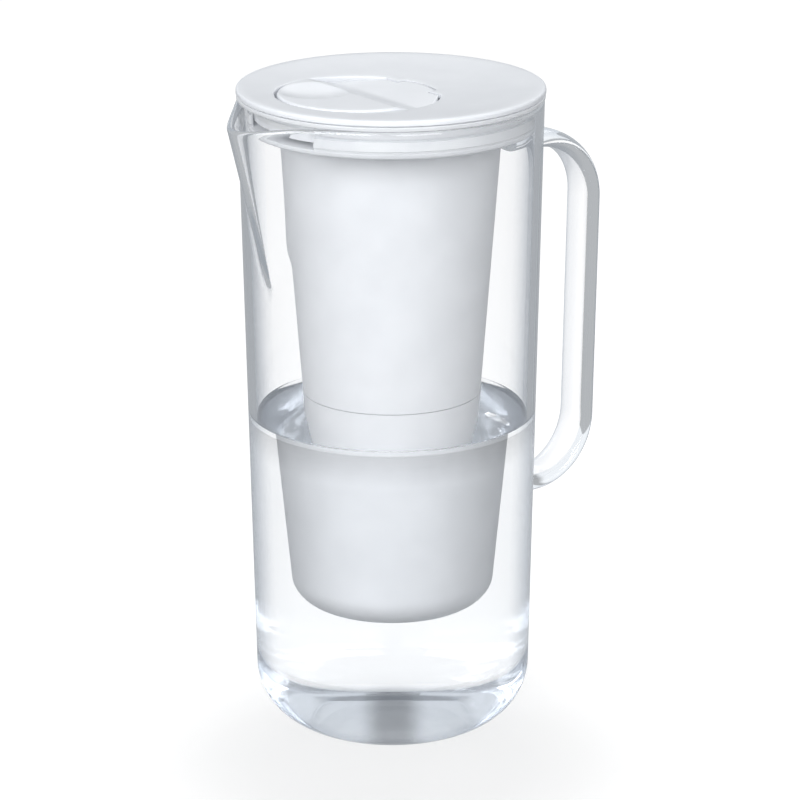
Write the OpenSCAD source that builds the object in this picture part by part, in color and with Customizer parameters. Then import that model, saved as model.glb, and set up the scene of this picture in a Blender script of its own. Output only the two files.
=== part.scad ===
// Water filter pitcher with a flip lid.
// The origin is on the axis of the body, on the face that it stands on.
// +Z is up, the spout points to -X and the handle to +X.

/* [Pitcher body] */
// Outer diameter of the body at the rim
rim_d = 119; // [110:0.5:124]
// How much narrower the body is at the base than at the rim, in diameter
body_taper = 10; // [4:0.1:16]
// Height of the rim above the table
rim_h = 256.5; // [240:0.5:280]
// Wall of the body
body_wall = 3.2; // [2.4:0.1:4]
// Thickness of the floor of the body
floor_t = 6.5; // [4:0.5:9]
// Outer radius between the wall and the base
base_round = 24.4; // [14:0.1:28]
// Inner radius between the wall and the floor
floor_round = 20; // [12:0.5:24]

/* [Spout] */
// Reach of the lip from the axis of the body
spout_reach = 75; // [70:0.5:80]
// Radius of the tip of the spout at the rim
beak_r = 7.4; // [6:0.1:10]
// Height at which the keel of the spout leaves the wall
keel_h = 188; // [178:1:200]
// Share of its width at the rim that the spout keeps at its foot
beak_pinch = 0.3; // [0.2:0.05:0.5]
// Thickness of the spout
spout_wall = 2.9; // [2.2:0.1:3.6]
// Drop of the tip of the lip under the rim
lip_drop = 3; // [0:0.1:4]
// Length of the lip that drops
lip_drop_run = 8; // [6:0.5:12]

/* [Handle] */
// Distance from the axis of the body to the middle of the grip at its top
grip_top_x = 95.7; // [90:0.1:104]
// Distance from the axis of the body to the middle of the grip at its bottom
grip_low_x = 93.6; // [90:0.1:104]
// Height of the upper arm
arm_top_h = 229.8; // [215:0.1:235]
// Height of the lower arm
arm_low_h = 85.8; // [70:0.1:110]
// Bend radius of the handle
bend_r = 26.4; // [20:0.1:28]
// Thickness of the bar, seen from the side
bar_t = 7.4; // [6:0.1:10]
// Width of the bar, seen from behind
bar_w = 18.5; // [14:0.1:24]

/* [Reservoir] */
// Clearance of the tray in the mouth of the body
tray_gap = 0.6; // [0.3:0.1:1]
// Wall of the collar of the tray
collar_wall = 1.5; // [1.2:0.1:2]
// Thickness of the flange that hangs on the rim
flange_t = 1.7; // [1.4:0.1:2.2]
// Depth from the rim to the underside of the tray
tray_depth = 11; // [10:0.5:14]
// Thickness of the floor of the tray
tray_floor_t = 2; // [1.6:0.1:2.4]
// Half angle of the pouring window in the collar, in degrees
window_half = 23.5; // [18:0.5:28]
// Height of the seal band round the collar
band_h = 3.6; // [3:0.1:4.4]
// Outer radius of the cup under the tray
cup_top_r = 43.2; // [40:0.1:46]
// Outer radius of the cup at its lower end
cup_low_r = 35.2; // [33:0.1:36]
// Height of the lower end of the cup above the table
cup_low_h = 139; // [130:0.5:146]
// Wall of the cup
cup_wall = 2; // [1.6:0.1:2.6]
// Thickness of the floor of the cup
cup_floor_t = 3; // [2:0.1:4]

/* [Filter cartridge] */
// Height of the underside of the cartridge above the table
cartridge_h = 50; // [40:0.5:60]
// Outer radius of the cartridge close to its lower end
cartridge_low_r = 28.5; // [26:0.1:30]
// Wall of the cartridge
cartridge_wall = 1.6; // [1.2:0.1:2]
// Radius between the wall and the underside of the cartridge
cartridge_round = 12; // [8:0.5:14]
// Height of the cap of the cartridge
cap_h = 7; // [6:0.5:9]
// Outer radius of the neck of the cartridge
neck_r = 13; // [11:0.1:15]
// Wall of the neck
neck_wall = 2; // [1.6:0.1:2.6]
// Clearance of the neck in the floor of the cup
neck_gap = 0.3; // [0.2:0.05:0.5]
// Reach of each bayonet lug from the neck
lug_reach = 4; // [3:0.1:5]
// Height of each bayonet lug
lug_h = 3; // [2:0.1:4]
// Half angle of each bayonet lug, in degrees
lug_half = 14; // [10:1:18]
// Thickness of the cord of the neck seal
neck_seal_t = 2.4; // [2:0.1:3]
// Thickness of each felt pad
felt_t = 3; // [2:0.5:4]
// Thickness of each screen
screen_t = 1; // [0.8:0.1:1.4]
// Share of the height of the media that the carbon takes
carbon_share = 0.6; // [0.4:0.05:0.7]
// Radius of each outlet hole
outlet_hole_r = 1.5; // [1:0.1:2]

/* [Lid] */
// How far the lid stands out past the rim
lid_overhang = 0.5; // [0.2:0.1:1.5]
// Thickness of the edge of the lid
lid_edge_t = 2.2; // [1.8:0.1:3]
// Depth of the dish in the top of the lid
lid_dish = 2; // [1:0.1:2.4]
// Width of the plain edge outside the dish
lid_border = 3; // [2:0.5:5]
// Depth of the boss under the lid
boss_t = 1.2; // [1:0.1:1.6]
// Thickness of the web of the lid plug
web_t = 1.5; // [1.2:0.1:2]
// Wall of the skirt of the lid plug
skirt_wall = 1.6; // [1.2:0.1:2]
// Depth of the skirt under the edge of the lid
skirt_h = 9; // [8.5:0.1:9.5]
// Clearance of the skirt in the collar
skirt_gap = 0.6; // [0.5:0.1:0.8]
// Height of the lid gasket
gasket_h = 2; // [1.6:0.1:2.4]

/* [Flap] */
// Diameter of the flap
flap_d = 62; // [56:0.5:66]
// Distance from the axis of the body to the middle of the flap
flap_x = 15.8; // [12:0.1:20]
// Gap round the flap
flap_gap = 1; // [0.8:0.1:1.2]
// Thickness of the flap
flap_t = 4.4; // [4:0.1:5]
// Width of the ledge under the edge of the flap
ledge_w = 7.2; // [6:0.1:9]
// Depth of the crease across the flap
crease_depth = 2.3; // [1.5:0.1:2.6]
// Distance of the crease from the middle of the flap, towards the hinge
crease_x = 5; // [0:1:10]
// Distance from the middle of the flap at which its top starts to fall to the crease, towards the spout
fall_x = 8; // [4:1:14]
// Depth of the hinge side of the flap under its top
hinge_side_drop = 1.4; // [1.2:0.1:1.6]
// Depth of the thumb dimple in the flap
dimple_depth = 1.3; // [0.5:0.1:1.6]
// Distance of the dimple from the middle of the flap, towards the spout
dimple_x = -11.8; // [-14:0.1:-8]
// Distance of the dimple from the middle of the flap, to the side
dimple_y = 11.9; // [0:0.1:14]
// Radius of the hinge pin
pin_r = 1; // [0.8:0.05:1.2]
// Distance from the edge of the flap to the hinge pin
pin_inset = 2.5; // [2.3:0.1:2.6]
// Running clearance of the flap round the hinge pin
pin_gap = 0.06; // [0.02:0.01:0.09]
// Width of the tongue of the flap that the hinge pin passes through
tongue_w = 19; // [16:0.5:20]
// Distance from the shoulders beside the tongue to the hinge pin
shoulder_inset = 3; // [2.8:0.1:4]

/* [Hidden] */
$fn = 96;

// Small overlap that makes cuts clean
cut = 1;
// Gap between two pieces that rest on each other and come apart
rest_gap = 0.3;

// Outer radius of the body at the table, if its wall ran straight down
base_r = (rim_d - body_taper) / 2;
// Growth of the outer radius for each millimetre of height
body_slope = (rim_d / 2 - base_r) / rim_h;

// Flange of the tray, on the rim of the body
lid_r = rim_d / 2 + lid_overhang;
flange_low = rim_h + rest_gap;
flange_top = flange_low + flange_t;
flange_r = lid_r - 0.2;
tray_low = rim_h - tray_depth;
tray_floor_top = tray_low + tray_floor_t;
collar_r = body_r(tray_low) - body_wall - tray_gap + 0.1;
collar_in_r = collar_r - collar_wall;

// Cones that make up the spout, and how far their feet lie inside the wall
beak_steps = 6;
foot_sink = 0.5;

// Band groove in the collar
groove_depth = 0.9;
band_low = tray_floor_top + 1;
band_top = band_low + band_h;
shadow_line = 0.7;

// Cup and cartridge share one taper line
cup_top = tray_low;
cup_slope = (cup_top_r - cup_low_r) / (cup_top - cup_low_h);
cup_flange_r = cup_top_r + 3;
cup_flange_t = 2;
cup_floor_top = cup_low_h + cup_floor_t;

// Cartridge
cartridge_top = cup_low_h - rest_gap;
cap_low = cartridge_top - cap_h;
cartridge_slope = (cup_low_r - cartridge_low_r) / (cup_low_h - cartridge_h);
neck_top = cup_floor_top + rest_gap + lug_h;
neck_in_r = neck_r - neck_wall;
neck_seal_r = neck_r + neck_seal_t / 2 + 0.2;
neck_seal_h = cartridge_top - neck_seal_t / 2 + 0.2;
cap_plug_t = 2;
cap_plug_h = 5;
cap_web = 4;
cap_plug_gap = 0.1;
media_top = cap_low - cap_plug_h - screen_t - felt_t;
media_foot = cartridge_h + cartridge_round;
divider_low = media_foot + (1 - carbon_share) * (media_top - media_foot);
media_gap = 0.3;
outlet_pad_r = cartridge_low_r - cartridge_wall - 2;

// Lid
lid_low = flange_top + rest_gap;
lid_top = lid_low + lid_edge_t;
lid_edge_round = 1;
dish_r = lid_r - lid_border;
dish_steps = 14;
skirt_r = collar_in_r - skirt_gap;
boss_low = lid_low - boss_t;
web_low = boss_low - web_t;
skirt_low = lid_low - skirt_h;
gasket_low = (skirt_low + web_low) / 2 - gasket_h / 2;
gasket_depth = 0.8;
gasket_proud = 0.3;

// Flap, level with the edge of the lid
flap_r = flap_d / 2;
fill_r = flap_r - ledge_w;
opening_r = flap_r + flap_gap;
flap_top = lid_top - 0.5;
flap_low = flap_top - flap_t;
flap_edge_round = 1;
dimple_r = 75;
flap_seal_t = 1.5;
flap_seal_in = fill_r + 1.5;
flap_seal_out = flap_seal_in + 2;
ledge_top = flap_low - flap_seal_t - rest_gap;
ledge_low = ledge_top - web_t;
well_wall = 1.5;
pin_x = -flap_x + flap_r - pin_inset;
pin_h = boss_low;
pin_half = sqrt(opening_r * opening_r - pow(flap_r - pin_inset, 2)) + 2.5;

function body_r(h) = base_r + body_slope * h;
function cup_r(h) = cup_low_r + cup_slope * (h - cup_low_h);
function dish_level(x) = lid_top - lid_dish + lid_dish * pow(x / dish_r, 2);
function cartridge_r(h) = cup_low_r + cartridge_slope * (h - cup_low_h);

// Half outline of a tapered cup with a round corner at its foot, for rotate_extrude.
module cup_outline(foot_r, slope, low, high, corner) {
    run = sqrt(1 + slope * slope);
    corner_x = foot_r + slope * corner - corner * run;
    touch_x = corner_x + corner / run;
    touch_h = low + corner - corner * slope / run;
    polygon([[0, low], [corner_x, low], [corner_x, low + corner], [touch_x, touch_h],
        [foot_r + slope * (high - low), high], [0, high]]);
    intersection() {
        translate([corner_x, low + corner]) circle(corner);
        translate([corner_x, low]) square([corner, corner]);
    }
}

// Cone whose axis runs from one point of the XZ plane to another.
module leaning_cone(x0, h0, r0, x1, h1, r1) {
    length = norm([x1 - x0, h1 - h0]);
    translate([x0, 0, h0]) rotate([0, atan2(x1 - x0, h1 - h0), 0]) cylinder(h = length, r1 = r0, r2 = r1);
}

// The spout, with its outside set in by inset: cones that grow from the tip of the beak to the rim.
module spout_form(inset, over) {
    grow = (rim_h + over - keel_h) / (rim_h - keel_h);
    for (step = [0:beak_steps - 1]) {
        share = pow(step / beak_steps, 1.4);
        full_r = beak_r + (rim_d / 2 - beak_r) * share;
        top_r = full_r - inset;
        top_x = (beak_r - spout_reach) * (1 - share);
        foot_r = max(full_r * beak_pinch - inset, 0.5);
        foot_x = foot_r + inset - body_r(keel_h) - foot_sink;
        leaning_cone(foot_x, keel_h, foot_r, foot_x + (top_x - foot_x) * grow, rim_h + over,
            foot_r + (top_r - foot_r) * grow);
    }
}

// Wedge that covers an angle of 2 * half about the -X or the +X direction.
module wedge(half, reach, low, high, towards = 180) {
    rotate([0, 0, towards]) translate([0, 0, low]) linear_extrude(high - low)
        polygon([[0, 0], [reach, -reach * tan(half)], [reach, reach * tan(half)]]);
}

module ring(outer, inner, low, high) {
    difference() {
        translate([0, 0, low]) cylinder(h = high - low, r = outer);
        translate([0, 0, low - cut]) cylinder(h = high - low + 2 * cut, r = inner);
    }
}

// Clear body: one tapered wall with a thick floor and a pulled spout.
module pitcher_body() {
    color([0.90, 0.94, 0.97, 0.35]) difference() {
        union() {
            rotate_extrude() cup_outline(base_r, body_slope, 0, rim_h, base_round);
            difference() {
                spout_form(0, 2 * cut);
                translate([-2 * spout_reach, -spout_reach, rim_h])
                    cube([2 * spout_reach, 2 * spout_reach, spout_reach]);
                translate([lip_drop_run - spout_reach, -spout_reach, rim_h])
                    rotate([0, 180 - atan(lip_drop / lip_drop_run), 0]) translate([0, 0, -spout_reach])
                        cube([spout_reach, 2 * spout_reach, spout_reach]);
            }
        }
        rotate_extrude()
            cup_outline(body_r(floor_t) - body_wall, body_slope, floor_t, rim_h + cut, floor_round);
        spout_form(spout_wall, 2 * cut);
    }
}

// Cross-section of the handle bar: flat with full round edges.
module bar_section() {
    flat = bar_w - bar_t;
    square([bar_t, flat], center = true);
    for (side = [-1, 1])
        translate([0, side * flat / 2]) circle(bar_t / 2);
}

// Clear solid bar, bent to a loop and joined to the wall at both ends. It leans with the wall.
module handle() {
    drop = arm_top_h - arm_low_h - 2 * bend_r;
    lean = atan((grip_top_x - grip_low_x) / drop);
    run = drop / cos(lean);
    arm = grip_low_x - bend_r - base_r * 0.9;
    color([0.90, 0.94, 0.97, 0.35]) difference() {
        translate([grip_low_x, 0, arm_low_h + bend_r]) rotate([0, lean, 0]) {
            linear_extrude(run) bar_section();
            for (end = [[0, -90], [run, 0]])
                translate([-bend_r, 0, end[0]]) rotate([90, -end[1], 0])
                    rotate_extrude(angle = 90) translate([bend_r, 0]) bar_section();
            for (level = [-bend_r, run + bend_r])
                translate([-bend_r - arm, 0, level]) rotate([0, 90, 0]) linear_extrude(arm) bar_section();
        }
        rotate_extrude() polygon([[0, 0], [base_r, 0], [rim_d / 2, rim_h], [0, rim_h]]);
    }
}

// Frosted tray: a flange on the rim, a collar and a floor with a wide hole.
module reservoir_tray() {
    color([0.88, 0.90, 0.92, 0.7]) difference() {
        union() {
            ring(flange_r, collar_in_r, flange_low, flange_top);
            ring(collar_r, collar_in_r, tray_low, flange_low + cut / 2);
            ring(collar_r, cup_top_r - cup_wall, tray_low, tray_floor_top);
        }
        // seat of the seal band, and the line above it
        ring(collar_r + cut, collar_r - groove_depth, band_low, band_top + shadow_line);
        // pouring window
        difference() {
            wedge(window_half, collar_r + 4, tray_floor_top, flange_low);
            translate([0, 0, tray_low]) cylinder(h = tray_depth * 2, r = collar_in_r - cut);
        }
    }
}

// Soft band in the groove of the collar, open at the pouring window.
module collar_seal() {
    color([0.95, 0.96, 0.97]) difference() {
        ring(collar_r + 0.1, collar_r - groove_depth, band_low, band_top);
        wedge(window_half, collar_r + 4, band_low - cut, band_top + cut);
    }
}

// White cup under the tray, with a bayonet hole in its floor.
module reservoir_cup() {
    color([0.96, 0.97, 0.98]) difference() {
        union() {
            rotate_extrude()
                polygon([[0, cup_low_h], [cup_low_r, cup_low_h], [cup_top_r, cup_top], [0, cup_top]]);
            translate([0, 0, cup_top - cup_flange_t]) cylinder(h = cup_flange_t, r = cup_flange_r);
        }
        rotate_extrude() polygon([[0, cup_floor_top], [cup_r(cup_floor_top) - cup_wall, cup_floor_top],
            [cup_r(cup_top + cut) - cup_wall, cup_top + cut], [0, cup_top + cut]]);
        translate([0, 0, cup_low_h - cut]) cylinder(h = cup_floor_t + 2 * cut, r = neck_r + neck_gap);
        // slots that let the lugs through when the cartridge is turned
        intersection() {
            translate([0, 0, cup_low_h - cut])
                cylinder(h = cup_floor_t + 2 * cut, r = neck_r + lug_reach + neck_gap);
            for (side = [90, 270])
                wedge(lug_half + 3, cup_low_r, cup_low_h - cut, cup_floor_top + cut, side);
        }
    }
}

// White shell of the cartridge, with outlet holes in its floor.
module cartridge_housing() {
    foot_r = cartridge_r(cartridge_h);
    hole_ring_r = (foot_r - cartridge_round) * 0.7;
    color([0.95, 0.96, 0.97]) difference() {
        rotate_extrude() cup_outline(foot_r, cartridge_slope, cartridge_h, cap_low, cartridge_round);
        rotate_extrude()
            cup_outline(cartridge_r(cartridge_h + cartridge_wall) - cartridge_wall, cartridge_slope,
                cartridge_h + cartridge_wall, cap_low + cut, cartridge_round - cartridge_wall);
        for (turn = [0:60:300])
            rotate([0, 0, turn]) translate([hole_ring_r, 0, cartridge_h - cut])
                cylinder(h = cartridge_wall + 2 * cut, r = outlet_hole_r);
    }
}

// Cap of the cartridge, with the bayonet neck that water enters.
module cartridge_cap() {
    plug_in_r = cartridge_r(cap_low - cap_plug_h) - cartridge_wall - cap_plug_gap;
    color([0.93, 0.95, 0.97]) difference() {
        union() {
            rotate_extrude() polygon([[0, cap_low], [cartridge_r(cap_low), cap_low],
                [cartridge_r(cartridge_top), cartridge_top], [0, cartridge_top]]);
            translate([0, 0, cap_low - cap_plug_h]) cylinder(h = cap_plug_h + cut, r = plug_in_r);
            translate([0, 0, cartridge_top - cut]) cylinder(h = neck_top - cartridge_top + cut, r = neck_r);
            intersection() {
                translate([0, 0, neck_top - lug_h]) cylinder(h = lug_h, r = neck_r + lug_reach - neck_gap);
                for (side = [0, 180])
                    wedge(lug_half, cup_low_r, neck_top - lug_h, neck_top, side);
            }
        }
        translate([0, 0, cap_low - cap_plug_h - cut]) cylinder(h = cap_h + cap_plug_h - cap_web + cut,
            r = plug_in_r - cap_plug_t);
        translate([0, 0, cap_low]) cylinder(h = neck_top - cap_low + cut, r = neck_in_r);
        // groove of the neck seal
        translate([0, 0, neck_seal_h]) rotate_extrude() translate([neck_seal_r, 0]) circle(neck_seal_t / 2);
    }
}

// Soft ring that closes the joint between the cartridge and the cup.
module neck_seal() {
    color([0.30, 0.32, 0.34]) translate([0, 0, neck_seal_h])
        rotate_extrude() translate([neck_seal_r, 0]) circle(neck_seal_t / 2);
}

// Round pad or bed inside the cartridge, tapered with its shell.
module cartridge_layer(low, high, gap) {
    rotate_extrude() polygon([[0, low], [cartridge_r(low) - cartridge_wall - gap, low],
        [cartridge_r(high) - cartridge_wall - gap, high], [0, high]]);
}

// Screen of the inlet: a thin disc with rings of holes.
module screen_holes(rings, pitch, hole_r, low) {
    for (ring_no = [1:rings], spot = [0:ring_no * 6 - 1])
        rotate([0, 0, spot * 60 / ring_no]) translate([ring_no * pitch, 0, low - cut])
            cylinder(h = screen_t + 2 * cut, r = hole_r, $fn = 24);
}

module inlet_screen() {
    low = cap_low - cap_plug_h - screen_t;
    color([0.85, 0.87, 0.90]) difference() {
        cartridge_layer(low, low + screen_t, media_gap);
        screen_holes(3, neck_in_r / 3, 1.1, low);
    }
}

module inlet_felt() {
    color([0.93, 0.92, 0.88]) cartridge_layer(media_top, media_top + felt_t, media_gap);
}

module carbon_bed() {
    color([0.13, 0.13, 0.14]) cartridge_layer(divider_low + felt_t, media_top, media_gap);
}

module divider_felt() {
    color([0.93, 0.92, 0.88]) cartridge_layer(divider_low, divider_low + felt_t, media_gap);
}

// Ion exchange beads, down to where the shell rounds in.
module resin_bed() {
    color([0.80, 0.66, 0.38]) cartridge_layer(media_foot, divider_low, media_gap);
}

module outlet_felt() {
    color([0.93, 0.92, 0.88]) translate([0, 0, media_foot - felt_t])
        cylinder(h = felt_t, r = outlet_pad_r);
}

module outlet_screen() {
    low = media_foot - felt_t - screen_t;
    color([0.85, 0.87, 0.90]) difference() {
        translate([0, 0, low]) cylinder(h = screen_t, r = outlet_pad_r);
        screen_holes(3, outlet_pad_r / 4, 1, low);
    }
}

// Room beside the tongue of the flap, where the lid reaches in; grow narrows it.
module shoulders(grow, low, high) {
    for (side = [-1, 1])
        translate([pin_x - shoulder_inset + grow, side > 0 ? tongue_w / 2 + grow : -flap_d, low])
            cube([flap_r, flap_d - tongue_w / 2 - grow, high - low]);
}

// Top disc of the lid: dished, with an opening in the outline of the flap.
module lid_cover() {
    color([0.95, 0.96, 0.98]) difference() {
        rotate_extrude() difference() {
            union() {
                translate([0, lid_low]) square([lid_r, lid_edge_t - lid_edge_round]);
                translate([0, boss_low]) square([skirt_r, boss_t + cut]);
                translate([0, lid_low]) square([lid_r - lid_edge_round, lid_edge_t]);
                translate([lid_r - lid_edge_round, lid_top - lid_edge_round]) circle(lid_edge_round);
            }
            polygon([for (x = [0:dish_r / dish_steps:dish_r + cut]) [x, dish_level(x)], [0, lid_top + cut]]);
        }
        difference() {
            translate([-flap_x, 0, boss_low - cut])
                cylinder(h = lid_edge_t + boss_t + 2 * cut, r = opening_r);
            shoulders(flap_gap, boss_low - 2 * cut, lid_top + 2 * cut);
        }
        translate([pin_x, pin_half, pin_h]) rotate([90, 0, 0]) cylinder(h = 2 * pin_half, r = pin_r);
    }
}

// Underside of the lid: a web, a skirt that plugs the collar and a well with a ledge for the flap.
module lid_plug() {
    color([0.94, 0.95, 0.97]) difference() {
        union() {
            translate([0, 0, web_low]) cylinder(h = web_t, r = skirt_r);
            ring(skirt_r, skirt_r - skirt_wall, skirt_low, boss_low);
            translate([-flap_x, 0, ledge_low]) cylinder(h = boss_low - ledge_low, r = opening_r + well_wall);
        }
        translate([-flap_x, 0, ledge_top]) cylinder(h = boss_low - ledge_top + cut, r = opening_r);
        translate([-flap_x, 0, ledge_low - cut]) cylinder(h = web_t + 2 * cut, r = fill_r);
        translate([pin_x, pin_half, pin_h]) rotate([90, 0, 0]) cylinder(h = 2 * pin_half, r = pin_r);
        ring(skirt_r + cut, skirt_r - gasket_depth, gasket_low, gasket_low + gasket_h);
    }
}

// Soft ring in the groove of the skirt.
module lid_gasket() {
    color([0.90, 0.91, 0.93])
        ring(skirt_r + gasket_proud, skirt_r - gasket_depth, gasket_low, gasket_low + gasket_h);
}

// Steel pin that the flap turns on, held in the cover at both ends.
module hinge_pin() {
    color([0.75, 0.76, 0.78]) translate([pin_x, pin_half, pin_h]) rotate([90, 0, 0])
        cylinder(h = 2 * pin_half, r = pin_r);
}

// Round flap: its top falls from both sides to a crease, beside a thumb dimple.
// Its tongue turns on the pin.
module flap() {
    far = flap_r + cut;
    color([0.96, 0.97, 0.99]) difference() {
        translate([-flap_x, 0, 0]) rotate_extrude() {
            translate([0, flap_low]) square([flap_r, flap_t - flap_edge_round]);
            translate([0, flap_low]) square([flap_r - flap_edge_round, flap_t]);
            translate([flap_r - flap_edge_round, flap_top - flap_edge_round]) circle(flap_edge_round);
        }
        translate([-flap_x, far, flap_top]) rotate([90, 0, 0]) linear_extrude(2 * far)
            polygon([[-fall_x, 0], [crease_x, -crease_depth], [flap_r, -hinge_side_drop],
                [far, -hinge_side_drop], [far, cut], [-fall_x, cut]]);
        translate([-flap_x + dimple_x, dimple_y, flap_top - dimple_depth + dimple_r])
            sphere(dimple_r, $fn = 200);
        shoulders(0, flap_low - cut, flap_top + cut);
        translate([pin_x, flap_d / 2, pin_h]) rotate([90, 0, 0]) cylinder(h = flap_d, r = pin_r + pin_gap);
    }
}

// Soft ring under the flap that closes on the ledge.
module flap_seal() {
    color([0.90, 0.91, 0.93]) translate([-flap_x, 0, 0])
        ring(flap_seal_out, flap_seal_in, flap_low - flap_seal_t, flap_low);
}

pitcher_body();
handle();
reservoir_tray();
collar_seal();
reservoir_cup();
cartridge_housing();
cartridge_cap();
neck_seal();
inlet_screen();
inlet_felt();
carbon_bed();
divider_felt();
resin_bed();
outlet_felt();
outlet_screen();
lid_cover();
lid_plug();
lid_gasket();
hinge_pin();
flap();
flap_seal();
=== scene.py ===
"""Looks of the water filter pitcher, and the studio that it stands in.

Meshes made here: the clear body with its handle, the water, the lid's disc, its flap and the
tray. The other pieces are CAD nodes that get a finish. Every length below is in millimetres and
becomes metres where a mesh is written.
"""

import math

import bmesh
import bpy
from mathutils import Matrix, Vector


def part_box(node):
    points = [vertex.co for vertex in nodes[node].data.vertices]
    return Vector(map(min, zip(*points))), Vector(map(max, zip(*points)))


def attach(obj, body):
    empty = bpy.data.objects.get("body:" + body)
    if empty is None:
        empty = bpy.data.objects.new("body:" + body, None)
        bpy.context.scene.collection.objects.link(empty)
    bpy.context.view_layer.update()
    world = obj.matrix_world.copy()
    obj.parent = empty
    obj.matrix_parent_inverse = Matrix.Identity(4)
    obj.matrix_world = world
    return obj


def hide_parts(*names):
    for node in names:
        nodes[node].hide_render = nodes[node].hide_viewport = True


MM = 0.001
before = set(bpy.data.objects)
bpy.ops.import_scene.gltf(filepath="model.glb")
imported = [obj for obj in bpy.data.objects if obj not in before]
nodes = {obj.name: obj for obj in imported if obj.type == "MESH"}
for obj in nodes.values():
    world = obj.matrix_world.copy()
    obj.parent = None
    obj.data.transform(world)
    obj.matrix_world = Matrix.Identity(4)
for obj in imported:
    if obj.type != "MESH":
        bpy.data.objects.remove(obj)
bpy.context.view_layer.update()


# Sizes, read from the frame where a CAD node gives them ---------------------------------------

def low(node, axis):
    """Lowest coordinate of a CAD node along an axis, in millimetres."""
    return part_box(node)[0][axis] / MM


def high(node, axis):
    """Highest coordinate of a CAD node along an axis, in millimetres."""
    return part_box(node)[1][axis] / MM


X, Y, Z = 0, 1, 2
UP = Vector((0, 0, 1))
RIM_H = high("pitcher_body", Z)
RIM_R = high("pitcher_body", Y)
REACH = -low("pitcher_body", X)
BODY_TAPER = 5.0             # radius lost from the rim to the table
BASE_ROUND = 24.4            # outer radius between wall and base
FLOOR_T = 6.5                # thickness of the base
FLOOR_ROUND = 20.0           # inner radius between wall and base
WALL = 3.2
SLOPE = BODY_TAPER / RIM_H

BEAK_FOOT = 188.5            # height at which the beak leaves the wall
BEAK_HALF = 52.0             # half angle of the beak at the rim, in degrees
BEAK_FOOT_HALF = 6.0         # half angle of the beak at its foot, in degrees
BEAK_WIDENS = 1.1            # power of the rise with which the beak grows wider
BEAK_SWELLS = 0.96           # power of the rise with which it grows deeper
BEAK_HOLLOW = 3.5            # power that makes its sides hollow
BEAK_ROUND = 0.145           # how round the keel is, as a share of the half angle
LIP_DROP = 3.1               # how far the tip of the lip lies under the rim
LIP_HOLLOW = 3.8             # power that keeps this drop close to the tip
LIP_THIN = 0.3               # how much thinner the lip is than the wall
BEAK_EDGE = 54.0             # angle from the spout past which the wall is plain
BEAK_TURNS, PLAIN_TURNS = 75, 120  # columns of points: half of the beak, the plain wall
WALL_STEPS, BEAK_STEPS = 30, 50    # rows of points up the plain wall and the beak
ROUND_STEPS, LIP_STEPS = 22, 8     # rows of points over a round of the base and over the lip

RECESS_R, RECESS_DEEP, RECESS_ROUND = 24.0, 1.2, 0.6  # shallow recess under the base

WATER_H = 129.35             # level of the water
WATER_SINK = 0.25            # how far the water's skin lies inside the wall
MENISCUS_H, MENISCUS_W = 1.2, 3.2  # how far the water climbs the wall, and over what width


def body_r(h):
    """Outer radius of the plain body at a height."""
    return RIM_R - BODY_TAPER + SLOPE * h


def steps(start, end, count):
    """Values from start to end in even steps, with both ends."""
    return [start + (end - start) * i / count for i in range(count + 1)]


def polar(turn, radius, z, middle=0.0):
    """Point at a radius from an upright axis; turn is in radians."""
    return middle + radius * math.cos(turn), radius * math.sin(turn), z


# Mesh helpers ---------------------------------------------------------------------------------

def arc(cx, cz, radius, start, end, count):
    """Points on an arc from one angle to another, in degrees."""
    turns = [math.radians(t) for t in steps(start, end, count)]
    return [(cx + radius * math.cos(t), cz + radius * math.sin(t)) for t in turns]


def rounded(corners, count=5):
    """Closed outline with each (x, z, radius) corner rounded."""
    points = []
    for i, (x, z, radius) in enumerate(corners):
        here = Vector((x, z))
        before = Vector(corners[i - 1][:2]) - here
        after = Vector(corners[(i + 1) % len(corners)][:2]) - here
        if radius == 0 or before.length < 1e-6 or after.length < 1e-6:
            points.append((x, z))
            continue
        before.normalize()
        after.normalize()
        half = before.angle(after) / 2
        centre = here + (before + after).normalized() * (radius / math.sin(half))
        start = here + before * (radius / math.tan(half))
        end = here + after * (radius / math.tan(half))
        for share in steps(0, 1, count):
            spoke = (start - centre).lerp(end - centre, share).normalized() * radius
            points.append(tuple(centre + spoke))
    return points


def mesh_object(name, vertices, faces, sharp=40):
    """Object from points in millimetres, smooth but for edges of more than sharp degrees."""
    mesh = bpy.data.meshes.new(name)
    mesh.from_pydata([[c * MM for c in v] for v in vertices], [], faces)
    shape = bmesh.new()
    shape.from_mesh(mesh)
    bmesh.ops.remove_doubles(shape, verts=shape.verts, dist=1e-7)
    bmesh.ops.recalc_face_normals(shape, faces=shape.faces)
    shape.to_mesh(mesh)
    shape.free()
    obj = bpy.data.objects.new(name, mesh)
    bpy.context.scene.collection.objects.link(obj)
    shade(obj, sharp)
    return obj


def shade(obj, sharp):
    """Smooth shading, with the edges over an angle marked sharp."""
    shape = bmesh.new()
    shape.from_mesh(obj.data)
    limit = math.radians(sharp)
    for face in shape.faces:
        face.smooth = True
    for edge in shape.edges:
        edge.smooth = len(edge.link_faces) != 2 or edge.calc_face_angle() < limit
    shape.to_mesh(obj.data)
    shape.free()


def skin(name, columns, closed, sharp):
    """Surface round an axis through columns of points; closed joins the two ends of each column."""
    count = len(columns[0])
    vertices = [tuple(p) for column in columns for p in column]
    faces = []
    for i in range(len(columns)):
        a, b = i * count, (i + 1) % len(columns) * count
        for k in range(count if closed else count - 1):
            n = (k + 1) % count
            faces.append(drop_repeats([a + k, a + n, b + n, b + k], vertices))
    return mesh_object(name, vertices, faces, sharp)


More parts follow.
